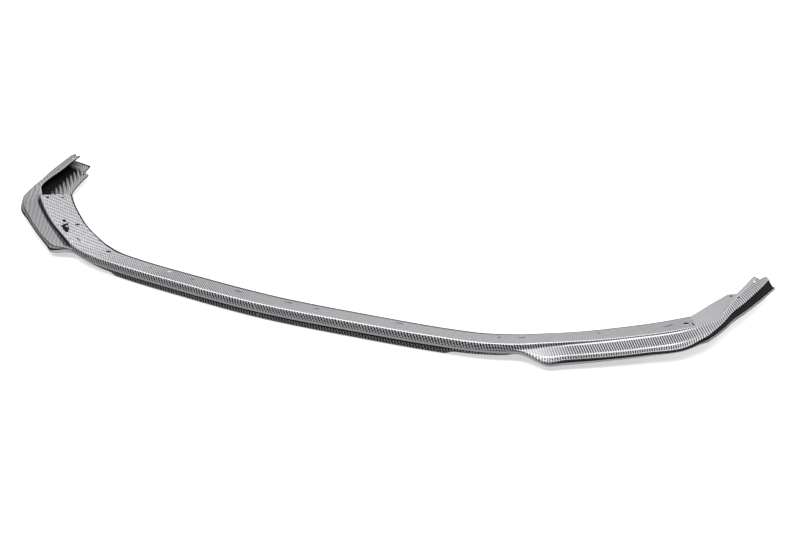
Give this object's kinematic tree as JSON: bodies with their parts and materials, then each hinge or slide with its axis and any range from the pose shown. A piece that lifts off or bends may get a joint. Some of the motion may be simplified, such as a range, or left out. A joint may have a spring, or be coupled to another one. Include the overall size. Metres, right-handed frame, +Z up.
{
  "type": "front splitter lip",
  "caption": "Thin moulded car front splitter lip: banked mounting flange, nose face, lower skirt, corner winglets and open rear trays under notched end strips.",
  "frame": {"origin": "under the middle of the lip, on the surface that its lower skirt stands on", "axes": "+X towards the right end in the picture, +Y rearwards into the car, +Z up"},
  "size_m": [1.808, 0.5076, 0.0578],
  "materials": {
    "twill_film_plastic": "gloss film with a fine 2x2 twill weave over black plastic, black at the cut edges"
  },
  "bodies": {
    "root": {"splitter_lip": "twill_film_plastic"}
  },
  "joints": []
}
